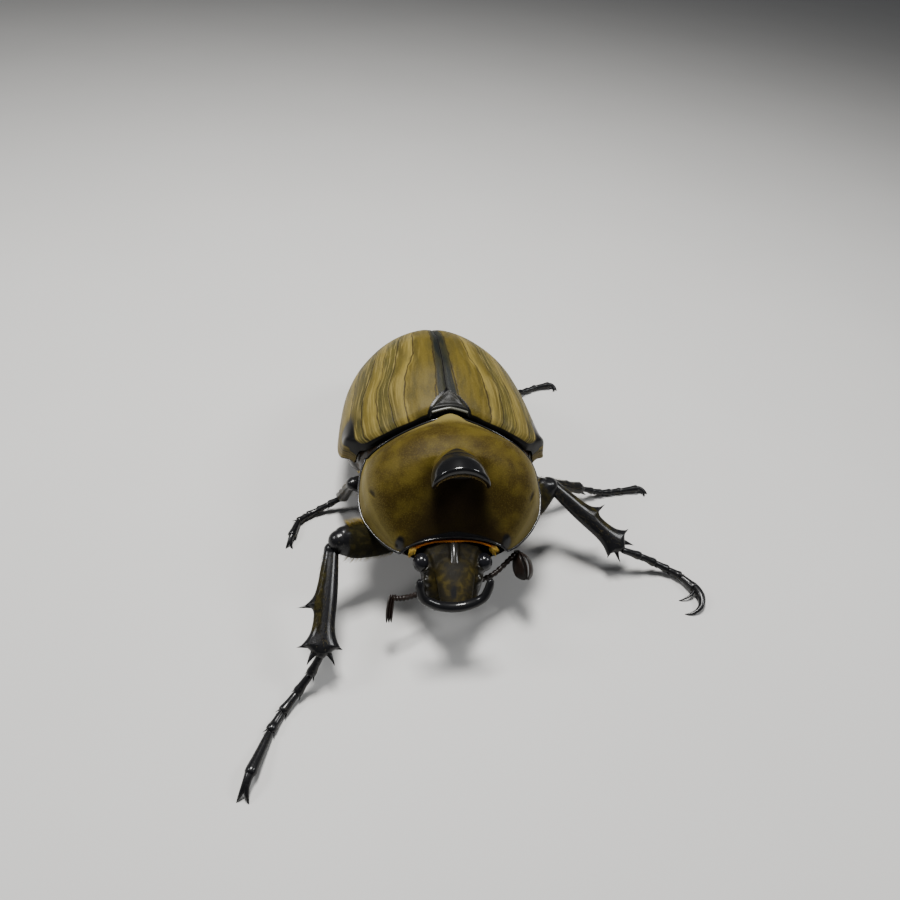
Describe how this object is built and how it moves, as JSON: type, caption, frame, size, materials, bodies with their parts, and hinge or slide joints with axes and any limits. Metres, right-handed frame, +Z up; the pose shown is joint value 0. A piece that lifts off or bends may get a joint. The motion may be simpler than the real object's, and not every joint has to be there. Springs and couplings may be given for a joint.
{
  "type": "anubis elephant beetle",
  "caption": "Life-size still model of a male anubis elephant beetle, standing with its forelegs spread, with a short blunt horn on the thorax and a forked one on the head.",
  "frame": {"origin": "on the floor under the middle of the box round the whole beetle", "axes": "+Z up, -Y the way the head points, +X to the beetle's left"},
  "size_m": [0.078, 0.0992, 0.0294],
  "materials": {
    "velvet_shell": "short olive-tan velvet over hard shell",
    "gloss_shell": "glossy black shell",
    "haired_skin": "dark shell with olive hair in its grooves",
    "eye": "glossy black"
  },
  "bodies": {
    "root": {"abdomen": "gloss_shell", "antenna_left": "gloss_shell", "antenna_right": "gloss_shell", "elytron_left": "velvet_shell", "elytron_right": "velvet_shell", "eye_left": "eye", "eye_right": "eye", "fore_coxa_left": "gloss_shell", "fore_coxa_right": "gloss_shell", "fore_femur_left": "gloss_shell", "fore_femur_right": "gloss_shell", "fore_tarsus_left": "gloss_shell", "fore_tarsus_right": "gloss_shell", "fore_tibia_left": "gloss_shell", "fore_tibia_right": "gloss_shell", "head": "haired_skin", "head_horn": "gloss_shell", "hind_coxa_left": "gloss_shell", "hind_coxa_right": "gloss_shell", "hind_femur_left": "gloss_shell", "hind_femur_right": "gloss_shell", "hind_tarsus_left": "gloss_shell", "hind_tarsus_right": "gloss_shell", "hind_tibia_left": "gloss_shell", "hind_tibia_right": "gloss_shell", "mandible_left": "gloss_shell", "mandible_right": "gloss_shell", "mid_coxa_left": "gloss_shell", "mid_coxa_right": "gloss_shell", "mid_femur_left": "gloss_shell", "mid_femur_right": "gloss_shell", "mid_tarsus_left": "gloss_shell", "mid_tarsus_right": "gloss_shell", "mid_tibia_left": "gloss_shell", "mid_tibia_right": "gloss_shell", "mouthparts": "haired_skin", "pronotum": "velvet_shell", "pronotum_horn": "gloss_shell", "prosternum": "gloss_shell", "pygidium": "gloss_shell", "scutellum": "gloss_shell", "thorax": "gloss_shell"}
  },
  "joints": []
}
